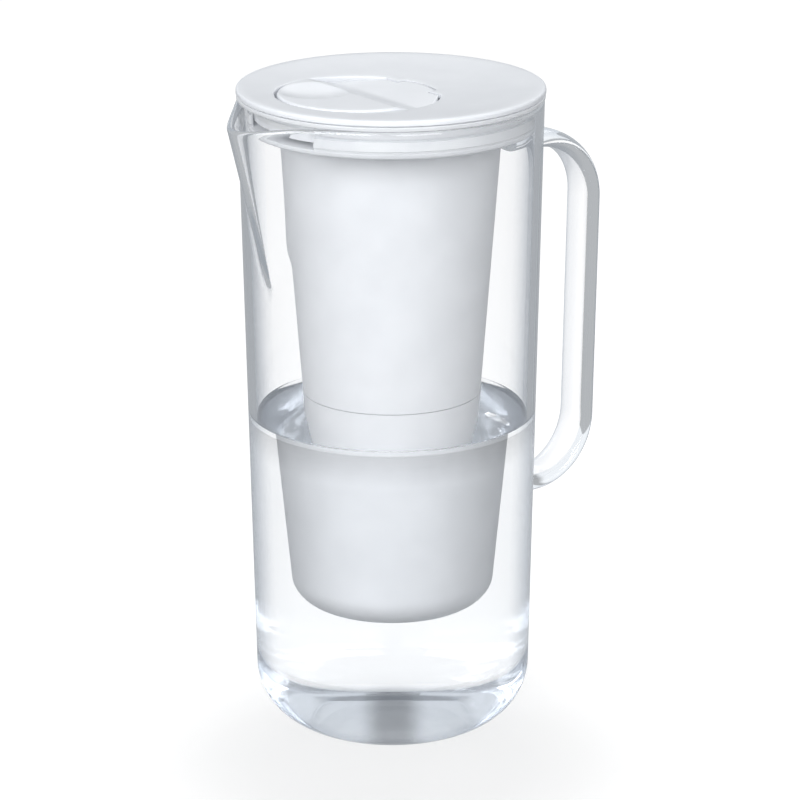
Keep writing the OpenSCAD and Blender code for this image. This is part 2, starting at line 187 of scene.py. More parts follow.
def tube(rings):
    """Vertices and faces of a skin over closed rings of points, with a face at each end."""
    count = len(rings[0])
    vertices = [tuple(p) for ring in rings for p in ring]
    faces = []
    for a in range(0, len(vertices) - count, count):
        b = a + count
        faces += [[a + k, a + (k + 1) % count, b + (k + 1) % count, b + k] for k in range(count)]
    last = len(vertices) - count
    faces += [list(range(count)), [last + k for k in reversed(range(count))]]
    return vertices, faces


def drop_repeats(face, vertices):
    """The face without points that share a place: quads on the axis become triangles."""
    kept = []
    for v in face:
        if all((Vector(vertices[v]) - Vector(vertices[u])).length > 1e-6 for u in kept):
            kept.append(v)
    return kept


def dress(obj, body, slot, *stands_for):
    """Puts a piece on a CAD body and hides the nodes that it stands for."""
    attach(obj, body)
    if stands_for:
        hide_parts(*stands_for)
    return obj


# Materials ------------------------------------------------------------------------------------

class Nodes:
    """Small wrapper that makes and links the nodes of one material or world."""

    def __init__(self, tree):
        self.tree = tree
        tree.nodes.clear()

    def add(self, kind, settings=None, **inputs):
        node = self.tree.nodes.new(kind)
        for key, value in (settings or {}).items():
            setattr(node, key, value)
        for key, value in inputs.items():
            self.set(node, key.replace("_", " "), value)
        return node

    def set(self, node, name, value):
        socket = node.inputs[name]
        if isinstance(value, bpy.types.NodeSocket):
            self.tree.links.new(value, socket)
        else:
            socket.default_value = value

    def noise(self, scale, detail=3.0, stretch=(1, 1, 1)):
        """Noise in the object's own metres, stretched along the axes."""
        place = self.add("ShaderNodeTexCoord").outputs["Object"]
        mapped = self.add("ShaderNodeMapping", Vector=place, Scale=stretch).outputs["Vector"]
        return self.add("ShaderNodeTexNoise", Vector=mapped, Scale=scale, Detail=detail).outputs["Fac"]

    def ramp(self, fac, *stops):
        node = self.add("ShaderNodeValToRGB", Fac=fac)
        ramp = node.color_ramp
        while len(ramp.elements) < len(stops):
            ramp.elements.new(0.5)
        for element, (at, colour) in zip(ramp.elements, stops):
            element.position = at
            element.color = (*colour, 1)
        return node.outputs["Color"]

    def span(self, fac, smallest, largest):
        """Maps a 0-1 value to a range."""
        node = self.add("ShaderNodeMapRange", Value=fac, To_Min=smallest, To_Max=largest)
        return node.outputs["Result"]

    def bump(self, height, strength, distance_mm):
        node = self.add("ShaderNodeBump", Height=height, Strength=strength, Distance=distance_mm * MM)
        return node.outputs["Normal"]

    def combine(self, kind, settings, *parts):
        """Node whose first sockets take the parts, which are values or other nodes' sockets."""
        node = self.add(kind, settings)
        for socket, part in zip(node.inputs, parts):
            if isinstance(part, bpy.types.NodeSocket):
                self.tree.links.new(part, socket)
            else:
                socket.default_value = part
        return node

    def math(self, operation, first, second=0.0):
        return self.combine("ShaderNodeMath", {"operation": operation}, first, second).outputs["Value"]

    def vector(self, operation, first, second):
        return self.combine("ShaderNodeVectorMath", {"operation": operation}, first, second)

    def mix(self, factor, first, second):
        """Mix of two shaders."""
        return self.combine("ShaderNodeMixShader", {}, factor, first, second).outputs["Shader"]

    def place(self, axis):
        """Coordinate along X, Y or Z in the object's own metres."""
        spot = self.add("ShaderNodeTexCoord").outputs["Object"]
        return self.add("ShaderNodeSeparateXYZ", Vector=spot).outputs[axis]


def new_material(name):
    material = bpy.data.materials.new(name)
    material.use_nodes = True
    return material, Nodes(material.node_tree)


def surface(n, shader, volume=None):
    out = n.add("ShaderNodeOutputMaterial")
    n.set(out, "Surface", shader)
    if volume is not None:
        n.set(out, "Volume", volume)


def moulded(name, darker, lighter, rough):
    """Moulded plastic: slow change of tone, fine texture in gloss and in relief."""
    material, n = new_material(name)
    tone = n.ramp(n.noise(scale=60.0, detail=2.0), (0.35, darker), (0.65, lighter))
    gloss = n.span(n.noise(scale=900.0, detail=2.0), rough - 0.04, rough + 0.06)
    relief = n.bump(n.noise(scale=2600.0, detail=2.0), strength=0.5, distance_mm=0.012)
    shader = n.add("ShaderNodeBsdfPrincipled", Base_Color=tone, Roughness=gloss, Normal=relief,
                   IOR=PLASTIC_IOR)
    surface(n, shader.outputs["BSDF"])
    return material


def soft_light(n, path, usual, instead):
    """The usual shader, but another one for the rays of soft light and shadow."""
    for ray in ("Is Shadow Ray", "Is Diffuse Ray"):
        usual = n.mix(path.outputs[ray], usual, instead)
    return usual


def painted_edge_tones(n, facing, tint, edges):
    """Tint with painted shade: darker and cooler towards the edges, the more slanted a surface is seen.
    """
    return n.ramp(facing, *[(at, tuple((c * share ** power) ** 2 for c, power in zip(tint, PAINTED_SHADE_COOLING)))
                            for at, share in edges])


def clear(name, tint, edges, ior, absorb, density, wave_mm, level=None, grip=None):
    """Clear plastic or water: soft light passes straight through it, and its edges get painted shade.

    edges lists (facing, share): how much of the tint a surface seen at that slant keeps; the rest
    is painted shade. grip gives other painted edge shade to the handle. With a level, a band of
    painted shade lies just under it, and only upright surfaces get painted edge shade.
    """
    material, n = new_material(name)
    waves = n.noise(scale=14.0, detail=1.0, stretch=(1, 1, 0.35))
    wave = n.bump(waves, strength=1.0, distance_mm=wave_mm)
    facing = n.add("ShaderNodeLayerWeight", Blend=0.5).outputs["Facing"]
    if level is not None:
        normal = n.add("ShaderNodeNewGeometry").outputs["Normal"]
        upward = n.math("ABSOLUTE", n.add("ShaderNodeSeparateXYZ", Vector=normal).outputs["Z"])
        facing = n.math("MULTIPLY", facing, n.math("SUBTRACT", 1.0, upward))
    # Painted shade: the tint goes darker and cooler the more slanted a surface is seen.
    tone = painted_edge_tones(n, facing, tint, edges)
    if grip is not None:
        on_grip = n.math("GREATER_THAN", n.place("X"), GRIP_FROM * MM)
        grip_shade_tone = painted_edge_tones(n, facing, tint, grip)
        tone = n.add("ShaderNodeMixRGB", Fac=on_grip, Color1=tone, Color2=grip_shade_tone).outputs["Color"]
    # Painted shade: a darker band on the water just under its level.
    if level is not None:
        share = n.add("ShaderNodeMapRange", Value=n.place("Z"), From_Min=(level - SHADE_BAND_H) * MM,
                      From_Max=level * MM).outputs["Result"]
        band = n.ramp(share, *[(at, (value ** 2,) * 3) for at, value in PAINTED_SHADE_UNDER_LEVEL])
        tone = n.vector("MULTIPLY", tone, band).outputs["Vector"]
    glass = n.add("ShaderNodeBsdfPrincipled", Base_Color=tone, Roughness=0.0, IOR=ior,
                  Transmission_Weight=1.0, Normal=wave).outputs["BSDF"]
    open_way = n.add("ShaderNodeBsdfTransparent", Color=(*tint, 1)).outputs["BSDF"]
    path = n.add("ShaderNodeLightPath")
    too_deep = n.math("GREATER_THAN", path.outputs["Ray Depth"], DEEPEST)
    glass = soft_light(n, path, n.mix(too_deep, glass, open_way), open_way)
    volume = n.add("ShaderNodeVolumeAbsorption", Color=(*absorb, 1), Density=density).outputs["Volume"]
    surface(n, glass, volume)
    return material


def frosted(name, darker, lighter, rough, through, lets_in):
    """Milky plastic: what lies behind shows through by one share, soft light gets in by another."""
    material, n = new_material(name)
    tone = n.ramp(n.noise(scale=50.0, detail=2.0), (0.35, darker), (0.65, lighter))
    gloss = n.span(n.noise(scale=800.0, detail=2.0), rough - 0.04, rough + 0.05)
    relief = n.bump(n.noise(scale=2200.0, detail=2.0), strength=0.5, distance_mm=0.01)
    milky = n.add("ShaderNodeBsdfPrincipled", Base_Color=tone, Roughness=gloss, Normal=relief,
                  IOR=PLASTIC_IOR).outputs["BSDF"]
    open_way = n.add("ShaderNodeBsdfTransparent").outputs["BSDF"]
    seen = milky
    if through:
        facing = n.add("ShaderNodeLayerWeight", Blend=0.35).outputs["Facing"]
        seen = n.mix(n.span(facing, through, 0.0), milky, open_way)
    path = n.add("ShaderNodeLightPath")
    surface(n, soft_light(n, path, seen, n.mix(lets_in, milky, open_way)))
    return material


def granules(name, darker, lighter, size_mm, rough):
    """Bed of beads or grains: cells of different tone with round relief."""
    material, n = new_material(name)
    place = n.add("ShaderNodeTexCoord").outputs["Object"]
    cells = n.add("ShaderNodeTexVoronoi", Vector=place, Scale=1 / (size_mm * MM))
    own = n.add("ShaderNodeSeparateXYZ", Vector=cells.outputs["Color"]).outputs["X"]
    tone = n.ramp(own, (0.1, darker), (0.9, lighter))
    domes = n.math("SUBTRACT", 1.0, cells.outputs["Distance"])
    relief = n.bump(domes, strength=0.8, distance_mm=size_mm * 0.4)
    shader = n.add("ShaderNodeBsdfPrincipled", Base_Color=tone, Roughness=rough, Normal=relief)
    surface(n, shader.outputs["BSDF"])
    return material


def felted(name, darker, lighter):
    """Felt: fine crossing fibres."""
    material, n = new_material(name)
    one = n.noise(scale=1500.0, detail=4.0, stretch=(1, 0.15, 0.4))
    other = n.noise(scale=1500.0, detail=4.0, stretch=(0.15, 1, 0.4))
    fibres = n.math("MAXIMUM", one, other)
    tone = n.ramp(fibres, (0.4, darker), (0.7, lighter))
    relief = n.bump(fibres, strength=0.7, distance_mm=0.08)
    shader = n.add("ShaderNodeBsdfPrincipled", Base_Color=tone, Roughness=0.95, Normal=relief,
                   Sheen_Weight=0.2)
    surface(n, shader.outputs["BSDF"])
    return material


def woven(name, darker, lighter, pitch_mm):
    """Fine screen: two sets of threads that cross."""
    material, n = new_material(name)
    place = n.add("ShaderNodeTexCoord").outputs["Object"]
    threads = [n.add("ShaderNodeTexWave", {"bands_direction": axis}, Vector=place,
                     Scale=WAVE_PER_M / (pitch_mm * MM)).outputs["Fac"] for axis in ("X", "Y")]
    grid = n.math("MAXIMUM", *threads)
    tone = n.ramp(grid, (0.3, darker), (0.7, lighter))
    relief = n.bump(grid, strength=0.8, distance_mm=0.05)
    shader = n.add("ShaderNodeBsdfPrincipled", Base_Color=tone, Roughness=0.45, Normal=relief)
    surface(n, shader.outputs["BSDF"])
    return material


def ground_steel(name):
    """Ground steel pin: fine lines round it."""
    material, n = new_material(name)
    lines = n.noise(scale=2500.0, detail=3.0, stretch=(1, 0.05, 1))
    tone = n.ramp(lines, (0.3, (0.58, 0.59, 0.61)), (0.7, (0.72, 0.73, 0.75)))
    relief = n.bump(lines, strength=0.4, distance_mm=0.01)
    shader = n.add("ShaderNodeBsdfPrincipled", Base_Color=tone, Roughness=n.span(lines, 0.2, 0.34),
                   Normal=relief, Metallic=1.0)
    surface(n, shader.outputs["BSDF"])
    return material


PLASTIC_IOR, WATER_IOR = 1.49, 1.333
WAVE_PER_M = 0.314           # scale of the wave texture at which one band takes a metre
DEEPEST = 11                 # turns of a ray inside the plastic after which it runs straight on
PAINTED_SHADE_COOLING = (1.15, 1.04, 0.88)  # the darker the painted edge shade, the cooler it is
# Painted edge shade: the share of the tint kept at each facing, for the plastic, the handle and the
# water.
PLASTIC_PAINTED_EDGE_SHADE = ((0.0, 1.0), (0.5, 1.0), (0.58, 0.93), (0.7, 0.84), (0.82, 0.8), (1.0, 0.82))
GRIP_PAINTED_EDGE_SHADE = ((0.0, 1.0), (0.3, 1.0), (0.42, 0.92), (0.55, 0.86), (0.7, 0.72), (0.85, 0.6), (1.0, 0.6))
GRIP_FROM = 61.5             # where along X the handle starts
WATER_PAINTED_EDGE_SHADE = ((0.0, 1.0), (0.22, 1.0), (0.28, 0.82), (0.34, 0.74), (1.0, 0.74))
SHADE_BAND_H = 14.0                # height of the band of painted shade under the water's level, and its shares
PAINTED_SHADE_UNDER_LEVEL = ((0.0, 1.0), (0.15, 0.97), (0.55, 0.85), (0.9, 0.77), (0.94, 1.0))

CLEAR = clear("clear_plastic", tint=(0.997, 0.998, 1.0), edges=PLASTIC_PAINTED_EDGE_SHADE, ior=PLASTIC_IOR,
              absorb=(0.55, 0.62, 0.70), density=2.0, wave_mm=0.02, grip=GRIP_PAINTED_EDGE_SHADE)
WATER = clear("water", tint=(0.998, 0.999, 1.0), edges=WATER_PAINTED_EDGE_SHADE, ior=WATER_IOR,
              absorb=(0.55, 0.72, 0.86), density=0.6, wave_mm=0.0, level=WATER_H)
WHITE = moulded("white_plastic", (0.80, 0.82, 0.85), (0.84, 0.86, 0.89), rough=0.32)
LID = frosted("lid_plastic", (0.79, 0.815, 0.855), (0.82, 0.845, 0.885), rough=0.3, through=0.0,
              lets_in=0.4)
FROSTED = frosted("frosted_plastic", (0.80, 0.82, 0.85), (0.84, 0.86, 0.89), rough=0.22, through=0.3,
                  lets_in=0.8)
PLUG = frosted("lid_inner_plastic", (0.82, 0.845, 0.88), (0.855, 0.88, 0.915), rough=0.4, through=0.0,
               lets_in=0.8)
SEAL = moulded("soft_seal", (0.74, 0.76, 0.79), (0.80, 0.82, 0.84), rough=0.5)
DARK_SEAL = moulded("dark_seal", (0.035, 0.037, 0.04), (0.05, 0.052, 0.056), rough=0.55)
STEEL = ground_steel("steel_pin")
SCREEN = woven("screen", (0.35, 0.37, 0.40), (0.74, 0.78, 0.83), pitch_mm=0.5)
FELT = felted("felt", (0.66, 0.64, 0.58), (0.84, 0.82, 0.76))
CARBON = granules("carbon", (0.008, 0.008, 0.009), (0.03, 0.03, 0.034), size_mm=1.1, rough=0.55)
RESIN = granules("resin", (0.42, 0.26, 0.09), (0.66, 0.46, 0.20), size_mm=0.9, rough=0.35)


# Clear body and handle ------------------------------------------------------------------------

def beak_rise(h):
    """How far up the beak a height is: 0 at its foot and below, 1 at the rim."""
    return max(0.0, (h - BEAK_FOOT) / (RIM_H - BEAK_FOOT))


def beak_share(turn, h):
    """How near a point is to the keel: 1 on the keel, 0 outside the beak.

    turn is in degrees from the spout, here and below.
    """
    half = BEAK_FOOT_HALF + (BEAK_HALF - BEAK_FOOT_HALF) * beak_rise(h) ** BEAK_WIDENS
    off = abs(turn) / half
    if off >= 1:
        return 0.0
    return 1 - (math.hypot(off, BEAK_ROUND) - BEAK_ROUND) / (math.hypot(1, BEAK_ROUND) - BEAK_ROUND)


def wall_point(turn, h):
    """Point on the outside of the body, with its beak."""
    swell = (REACH - RIM_R) * beak_rise(h) ** BEAK_SWELLS * beak_share(turn, h) ** BEAK_HOLLOW
    return Vector(polar(math.radians(180 + turn), body_r(h) + swell, h))


def wall_thickness(turn, h):
    """The wall is a little thinner on the beak."""
    return WALL - LIP_THIN * min(1, beak_rise(h)) * beak_share(turn, h)


def wall_normal(turn, h):
    """Outward direction of the body's wall."""
    step = 0.05
    across = wall_point(turn + step, h) - wall_point(turn - step, h)
    along = wall_point(turn, h + step) - wall_point(turn, h - step)
    return across.cross(along).normalized()


def wall_turns():
    """Angles from the spout, close together over the beak and wider elsewhere."""
    fine = [BEAK_EDGE * i / BEAK_TURNS for i in range(-BEAK_TURNS, BEAK_TURNS + 1)]
    return fine + steps(BEAK_EDGE, 360 - BEAK_EDGE, PLAIN_TURNS)[1:-1]


def recess_edge():
    """Step from the recess down to the ring that the pitcher stands on, with two soft corners."""
    turns = [math.radians(a) for a in (0, 22, 45, 67, 90)]
    inner = [(RECESS_R + RECESS_ROUND * math.sin(a), RECESS_DEEP - RECESS_ROUND * (1 - math.cos(a)))
             for a in turns]
    outer = [(RECESS_R + RECESS_ROUND * (2 - math.sin(a)), RECESS_ROUND * (1 - math.cos(a)))
             for a in reversed(turns[:-1])]
    return inner + outer


def build_body():
    """Clear body: base, wall with its beak, round lip, inner wall and floor."""
    inner_foot = FLOOR_T + FLOOR_ROUND
    foot_r = body_r(inner_foot) - WALL - FLOOR_ROUND
    under = [(RECESS_R * s, RECESS_DEEP) for s in (0.0, 0.5, 0.9)] + recess_edge()
    under += arc(body_r(BASE_ROUND) - BASE_ROUND, BASE_ROUND, BASE_ROUND, -90, -4, ROUND_STEPS)
    inside = arc(foot_r, inner_foot, FLOOR_ROUND, -2, -90, ROUND_STEPS)
    inside += [(foot_r * s, FLOOR_T) for s in (0.9, 0.5, 0.0)]
    columns = []
    for turn in wall_turns():
        t = math.radians(180 + turn)
        half_t = wall_thickness(turn, RIM_H) / 2
        top = RIM_H - LIP_DROP * beak_share(turn, RIM_H) ** LIP_HOLLOW - half_t
        levels = steps(BASE_ROUND, BEAK_FOOT, WALL_STEPS)[:-1] + steps(BEAK_FOOT, top, BEAK_STEPS)
        column = [polar(t, r, z) for r, z in under]
        column += [wall_point(turn, h) for h in levels]
        out = wall_normal(turn, top)
        level = Vector((out.x, out.y, 0)).normalized()
        middle = wall_point(turn, top) - level * half_t
        for lean in steps(0, math.pi, LIP_STEPS)[1:-1]:
            column.append(middle + level * (half_t * math.cos(lean)) + UP * (half_t * math.sin(lean)))
        column += [wall_point(turn, h) - wall_normal(turn, h) * wall_thickness(turn, h)
                   for h in reversed(levels) if h > inner_foot + 1]
        column += [polar(t, r, z) for r, z in inside]
        columns.append(column)
    return skin("clear_body", columns, closed=False, sharp=60)


GRIP_TOP_X, GRIP_LOW_X = 95.7, 93.6  # middle of the grip where it meets its two bends
ARM_TOP, ARM_LOW = 229.8, 85.8       # heights of the two arms
ARM_IN = 0.975               # share of the wall's lower radius at which the arms start
BEND_R = 26.4
BAR_T, BAR_W = 7.4, 18.5     # thickness and width of the bar
BAR_POWER = 2.12             # 2 would make its section an ellipse, more makes it squarer
BAR_POINTS, BEND_STEPS, GRIP_STEPS = 56, 24, 20


def handle_path():
    """Middle line of the handle in the XZ plane with its direction, from the lower arm up."""
    drop = ARM_TOP - ARM_LOW - 2 * BEND_R
    lean = math.atan2(GRIP_TOP_X - GRIP_LOW_X, drop)
    run = drop / math.cos(lean)
    arm = GRIP_LOW_X - BEND_R - (RIM_R - BODY_TAPER) * ARM_IN
    quarter = steps(0, 90, BEND_STEPS)
    path = [(-BEND_R - arm * (1 - s), -BEND_R, 0) for s in (0, 0.35, 0.7)]
    path += [(x, z, t) for (x, z), t in zip(arc(-BEND_R, 0, BEND_R, -90, 0, BEND_STEPS), quarter)]
    path += [(0, z, 90) for z in steps(0, run, GRIP_STEPS)[1:-1]]
    path += [(x, z, 90 + t) for (x, z), t in zip(arc(-BEND_R, run, BEND_R, 0, 90, BEND_STEPS), quarter)]
    path += [(-BEND_R - arm * s, run + BEND_R, 180) for s in (0.3, 0.65, 1)]
    return [(GRIP_LOW_X + x * math.cos(lean) + z * math.sin(lean),
             ARM_LOW + BEND_R + z * math.cos(lean) - x * math.sin(lean),
             heading - math.degrees(lean)) for x, z, heading in path]


def build_handle():
    """Clear bar bent to a loop, with a soft flat section."""
    def bulge(share, size):
        """Coordinate on the section where an ellipse would have this share of half its size."""
        return math.copysign(abs(share) ** (2 / BAR_POWER), share) * size / 2

    section = [(bulge(math.cos(a), BAR_T), bulge(math.sin(a), BAR_W))
               for a in steps(0, 2 * math.pi, BAR_POINTS)[:-1]]
    rings = []
    for x, z, heading in handle_path():
        t = math.radians(heading)
        rings.append([(x + thick * math.sin(t), wide, z - thick * math.cos(t))
                      for thick, wide in section])
    return mesh_object("clear_handle", *tube(rings), sharp=60)


def join_clear(body, handle):
    """Body and handle as the one clear moulding that they are."""
    union = body.modifiers.new("handle", "BOOLEAN")
    union.operation = "UNION"
    union.solver = "EXACT"
    union.object = handle
    graph = bpy.context.evaluated_depsgraph_get()
    body.data = bpy.data.meshes.new_from_object(body.evaluated_get(graph))
    body.modifiers.clear()
    bpy.data.objects.remove(handle)
    body.name = "clear_pitcher"
    shade(body, 35)
    body.data.materials.clear()
    body.data.materials.append(CLEAR)
    return body


clear_pitcher = join_clear(build_body(), build_handle())
dress(clear_pitcher, "pitcher", "clear_plastic", "pitcher_body", "handle")


# Water ----------------------------------------------------------------------------------------

WATER_TURNS, WATER_STEPS, MENISCUS_STEPS = 224, 30, 10


def build_water():
    """Water in the body, up to its level, with a meniscus on the wall: not part of the object."""
    foot = FLOOR_T + FLOOR_ROUND
    foot_r = body_r(foot) - WALL + WATER_SINK - FLOOR_ROUND
    top = WATER_H + MENISCUS_H
    outline = [(0, FLOOR_T - WATER_SINK)] + arc(foot_r, foot, FLOOR_ROUND, -90, -2, 24)
    outline += [(body_r(h) - WALL + WATER_SINK, h) for h in steps(foot, top, WATER_STEPS)[1:]]
    outline += [(body_r(top) - WALL - s * MENISCUS_W, WATER_H + MENISCUS_H * (1 - s) ** 3)
                for s in steps(0, 1, MENISCUS_STEPS)]
    outline += [(s, WATER_H) for s in (40, 20, 0)]
    columns = [[polar(t, r, z) for r, z in outline]
               for t in steps(0, 2 * math.pi, WATER_TURNS)[:-1]]
    obj = skin("water", columns, closed=False, sharp=50)
    obj.data.materials.append(WATER)


build_water()


# Tray -----------------------------------------------------------------------------------------

TRAY_LOW = low("reservoir_tray", Z)
TRAY_TOP = high("reservoir_tray", Z)
FLANGE_R = high("reservoir_tray", Y)
FLANGE_LOW = TRAY_TOP - 1.7
TRAY_FLOOR_TOP = TRAY_LOW + 2.0
TRAY_STEPS = 240
COLLAR_R, COLLAR_IN_R = 55.58, 54.08
CUP_MOUTH_R = 41.2
GROOVE_LOW, GROOVE_TOP, GROOVE_DEEP = TRAY_LOW + 3.0, TRAY_LOW + 7.3, 0.9
WINDOW_HALF = 23.5           # half angle of the pouring window in the collar
LAP = 0.1                    # how far the collar reaches into the floor and the flange


def build_tray():
    """Tray with a round lower edge, a flange, and a grooved collar with its pouring window.

    The corners of its three outlines are (radius from the axis, height, rounding).
    """
    floor = ((CUP_MOUTH_R, TRAY_LOW, 0), (COLLAR_R, TRAY_LOW, 0.9), (COLLAR_R, TRAY_FLOOR_TOP, 0.5),
             (CUP_MOUTH_R, TRAY_FLOOR_TOP, 0))
    flange = ((COLLAR_IN_R, FLANGE_LOW, 0), (FLANGE_R, FLANGE_LOW, 0.4), (FLANGE_R, TRAY_TOP, 0.6),
              (COLLAR_IN_R, TRAY_TOP, 0))
    groove_r = COLLAR_R - GROOVE_DEEP
    collar = ((COLLAR_IN_R, TRAY_FLOOR_TOP - LAP, 0), (COLLAR_R - 0.2, TRAY_FLOOR_TOP - LAP, 0),
              (COLLAR_R, GROOVE_LOW, 0.3), (groove_r, GROOVE_LOW, 0.1), (groove_r, GROOVE_TOP, 0.1),
              (COLLAR_R, GROOVE_TOP, 0.6), (COLLAR_R, FLANGE_LOW - 0.9, 0.6),
              (COLLAR_R - 0.5, FLANGE_LOW + LAP, 0), (COLLAR_IN_R, FLANGE_LOW + LAP, 0))
    vertices, faces = [], []
    for corners, start, end in ((floor, 0, 360), (flange, 0, 360),
                                (collar, WINDOW_HALF - 180, 180 - WINDOW_HALF)):
        outline = rounded(corners)
        more, sides = tube([[polar(math.radians(t), r, z) for r, z in outline]
                            for t in steps(start, end, TRAY_STEPS)])
        if end - start == 360:
            sides = sides[:-2]
        faces += [[len(vertices) + v for v in face] for face in sides]
        vertices += more
    return mesh_object("frosted_tray", vertices, faces)


tray = build_tray()
tray.data.materials.append(FROSTED)
dress(tray, "reservoir", "frosted_plastic", "reservoir_tray")


# Lid ------------------------------------------------------------------------------------------

LID_R = high("lid_cover", Y)
LID_TOP = high("lid_cover", Z)
LID_EDGE = 2.2               # height of the edge of the disc
LID_LOW = LID_TOP - LID_EDGE
BOSS_LOW = low("lid_cover", Z)
BOSS_R = high("lid_plug", Y)
LID_ROUND, LID_CHAMFER = 1.0, 0.3
DISH_R, DISH_DEPTH = LID_R - 3.0, 2.0
LID_SIDES, DISC_STEPS, FLAP_STEPS = 240, 12, 48
LID_SHARP = 38
QUARTER = [math.radians(15 * k) for k in range(1, 7)]  # turns of the points on a round edge

FLAP_X = (low("flap", X) + high("flap", X)) / 2
FLAP_R = high("flap", Y)
FLAP_TOP = high("flap", Z)
FLAP_LOW = low("flap", Z)
FLAP_ROUND, FLAP_CHAMFER = 1.0, 0.4
OPENING_R = FLAP_R + 0.95
OPENING_ROUND = 0.8
SHOULDER_U, TONGUE_HALF = 26.5, 10.5  # shoulders of the lid beside the tongue of the flap
SHOULDER_GAP = 0.5
HINGE_THIN = 0.7             # share that the round edges lose at the hinge
HINGE_TURN, HINGE_BLEND = 40.0, 6.0   # degrees from the hinge: where they lose nothing, the change
FALL_U = -2.5                # where the top of the flap starts to fall to the crease
CREASE_U, CREASE_DEEP = 8.5, 3.1      # place and depth of the crease across the flap
HINGE_DROP = 1.4             # how far the top lies down at the hinge
CREASE_BLEND, FALL_BLEND, DIMPLE_BLEND = 0.8, 0.25, 0.12
DIMPLE_U, DIMPLE_V, DIMPLE_DEEP, DIMPLE_R = -11.8, 11.9, 2.0, 50.0  # hollow for the thumb


def dish(radius):
    """Height of the dished top of the lid at a distance from its axis."""
    return LID_TOP - DISH_DEPTH * (1 - min(1.0, radius / DISH_R) ** 2)


def notched(turn, radius, gap=0.0):
    """Distance from the middle of the flap to its edge or its opening.

    turn is in radians from the hinge, here and below.
    """
    c, s = math.cos(turn), abs(math.sin(turn))
    shoulder, half = SHOULDER_U - gap, TONGUE_HALF - gap
    if radius * c <= shoulder or radius * s <= half:
        return radius
    return max(shoulder / c, half / s)


def flap_turns():
    """Angles about the middle of the flap, with the corners of its tongue and the lid's shoulders."""
    turns = {round(math.radians(360 * i / LID_SIDES - 180), 6) for i in range(LID_SIDES)}
    for radius, gap in ((OPENING_R, 0.0), (FLAP_R, SHOULDER_GAP)):
        shoulder, half = SHOULDER_U - gap, TONGUE_HALF - gap
        for t in (math.atan2(half, shoulder), math.acos(shoulder / radius), math.asin(half / radius)):
            turns |= {round(t, 6), round(-t, 6)}
    return sorted(turns)


def edge_round(turn, usual):
    """Radius of an edge of the flap or its opening: smaller at the hinge."""
    near = (HINGE_TURN - math.degrees(abs(turn))) / HINGE_BLEND
    return usual * (1 - HINGE_THIN * max(0.0, min(1.0, near)))


def to_circle(turn, radius):
    """Point on a circle about the lid's axis, seen from the middle of the flap."""
    c, s = math.cos(turn), math.sin(turn)
    along = -FLAP_X * c + math.sqrt(radius * radius - (FLAP_X * s) ** 2)
    return FLAP_X + along * c, along * s


def build_cover():
    """Dished disc with a round edge and an opening for the flap, whose edge is round too."""
    rim = [(LID_R - LID_ROUND, LID_TOP)]
    rim += arc(LID_R - LID_ROUND, LID_TOP - LID_ROUND, LID_ROUND, 75, 0, 5)
    rim += [(LID_R, LID_LOW + LID_CHAMFER), (LID_R - LID_CHAMFER, LID_LOW), (BOSS_R, LID_LOW),
            (BOSS_R, BOSS_LOW)]
    columns = []
    for turn in flap_turns():
        edge = notched(turn, OPENING_R)
        soft = edge_round(turn, OPENING_ROUND)
        top = dish(math.hypot(*polar(turn, edge, 0, FLAP_X)))
        hole = [(edge, BOSS_LOW), (edge, top - soft)]
        hole += [(edge + soft * (1 - math.cos(a)), top - soft * (1 - math.sin(a))) for a in QUARTER]
        column = [polar(turn, r, z, FLAP_X) for r, z in hole]
        near, far = Vector(column[-1][:2]), Vector(to_circle(turn, DISH_R))
        for share in steps(0, 1, DISC_STEPS)[1:]:
            spot = near.lerp(far, share)
            column.append((*spot, dish(spot.length)))
        column += [(*to_circle(turn, r), z) for r, z in rim]
        columns.append(column)
    return skin("lid_top", columns, closed=True, sharp=LID_SHARP)


def soft_max(a, b, width):
    """The larger of two values, blended where they are close."""
    h = max(0.0, min(1.0, 0.5 + 0.5 * (a - b) / width))
    return b + (a - b) * h + width * h * (1 - h)


def flap_level(u, v):
    """Depth of the top of the flap under its highest level; u runs from its middle to the hinge."""
    fall = CREASE_DEEP * (u - FALL_U) / (CREASE_U - FALL_U)
    rise = CREASE_DEEP - (CREASE_DEEP - HINGE_DROP) * (u - CREASE_U) / (FLAP_R - CREASE_U)
    creased = -soft_max(-fall, -rise, CREASE_BLEND)
    depth = soft_max(0.0, creased, FALL_BLEND)
    off = math.hypot(u - DIMPLE_U, v - DIMPLE_V)
    cup = DIMPLE_DEEP - DIMPLE_R + math.sqrt(max(0.0, DIMPLE_R ** 2 - off ** 2))
    return soft_max(depth, cup, DIMPLE_BLEND)


def build_flap():
    """Round flap with its thumb dimple, its crease and a round edge."""
    columns = []
    for turn in flap_turns():
        edge = notched(turn, FLAP_R, SHOULDER_GAP)
        soft = edge_round(turn, FLAP_ROUND)
        flat = edge - soft
        outline = []
        for r in steps(0, flat, FLAP_STEPS):
            outline.append((r, FLAP_TOP - flap_level(r * math.cos(turn), r * math.sin(turn))))
        top = outline[-1][1]
        outline += [(flat + soft * math.sin(a), top - soft * (1 - math.cos(a))) for a in QUARTER]
        outline += [(edge, FLAP_LOW + FLAP_CHAMFER), (edge - FLAP_CHAMFER, FLAP_LOW),
                    (edge / 2, FLAP_LOW), (0, FLAP_LOW)]
        columns.append([polar(turn, r, z, FLAP_X) for r, z in outline])
    return skin("flip_flap", columns, closed=False, sharp=LID_SHARP)


for piece, body, node in ((build_cover(), "lid", "lid_cover"), (build_flap(), "flap", "flap")):
    piece.data.materials.append(LID)
    dress(piece, body, "lid_plastic", node)


# Finishes of the pieces that stay as the CAD made them ----------------------------------------

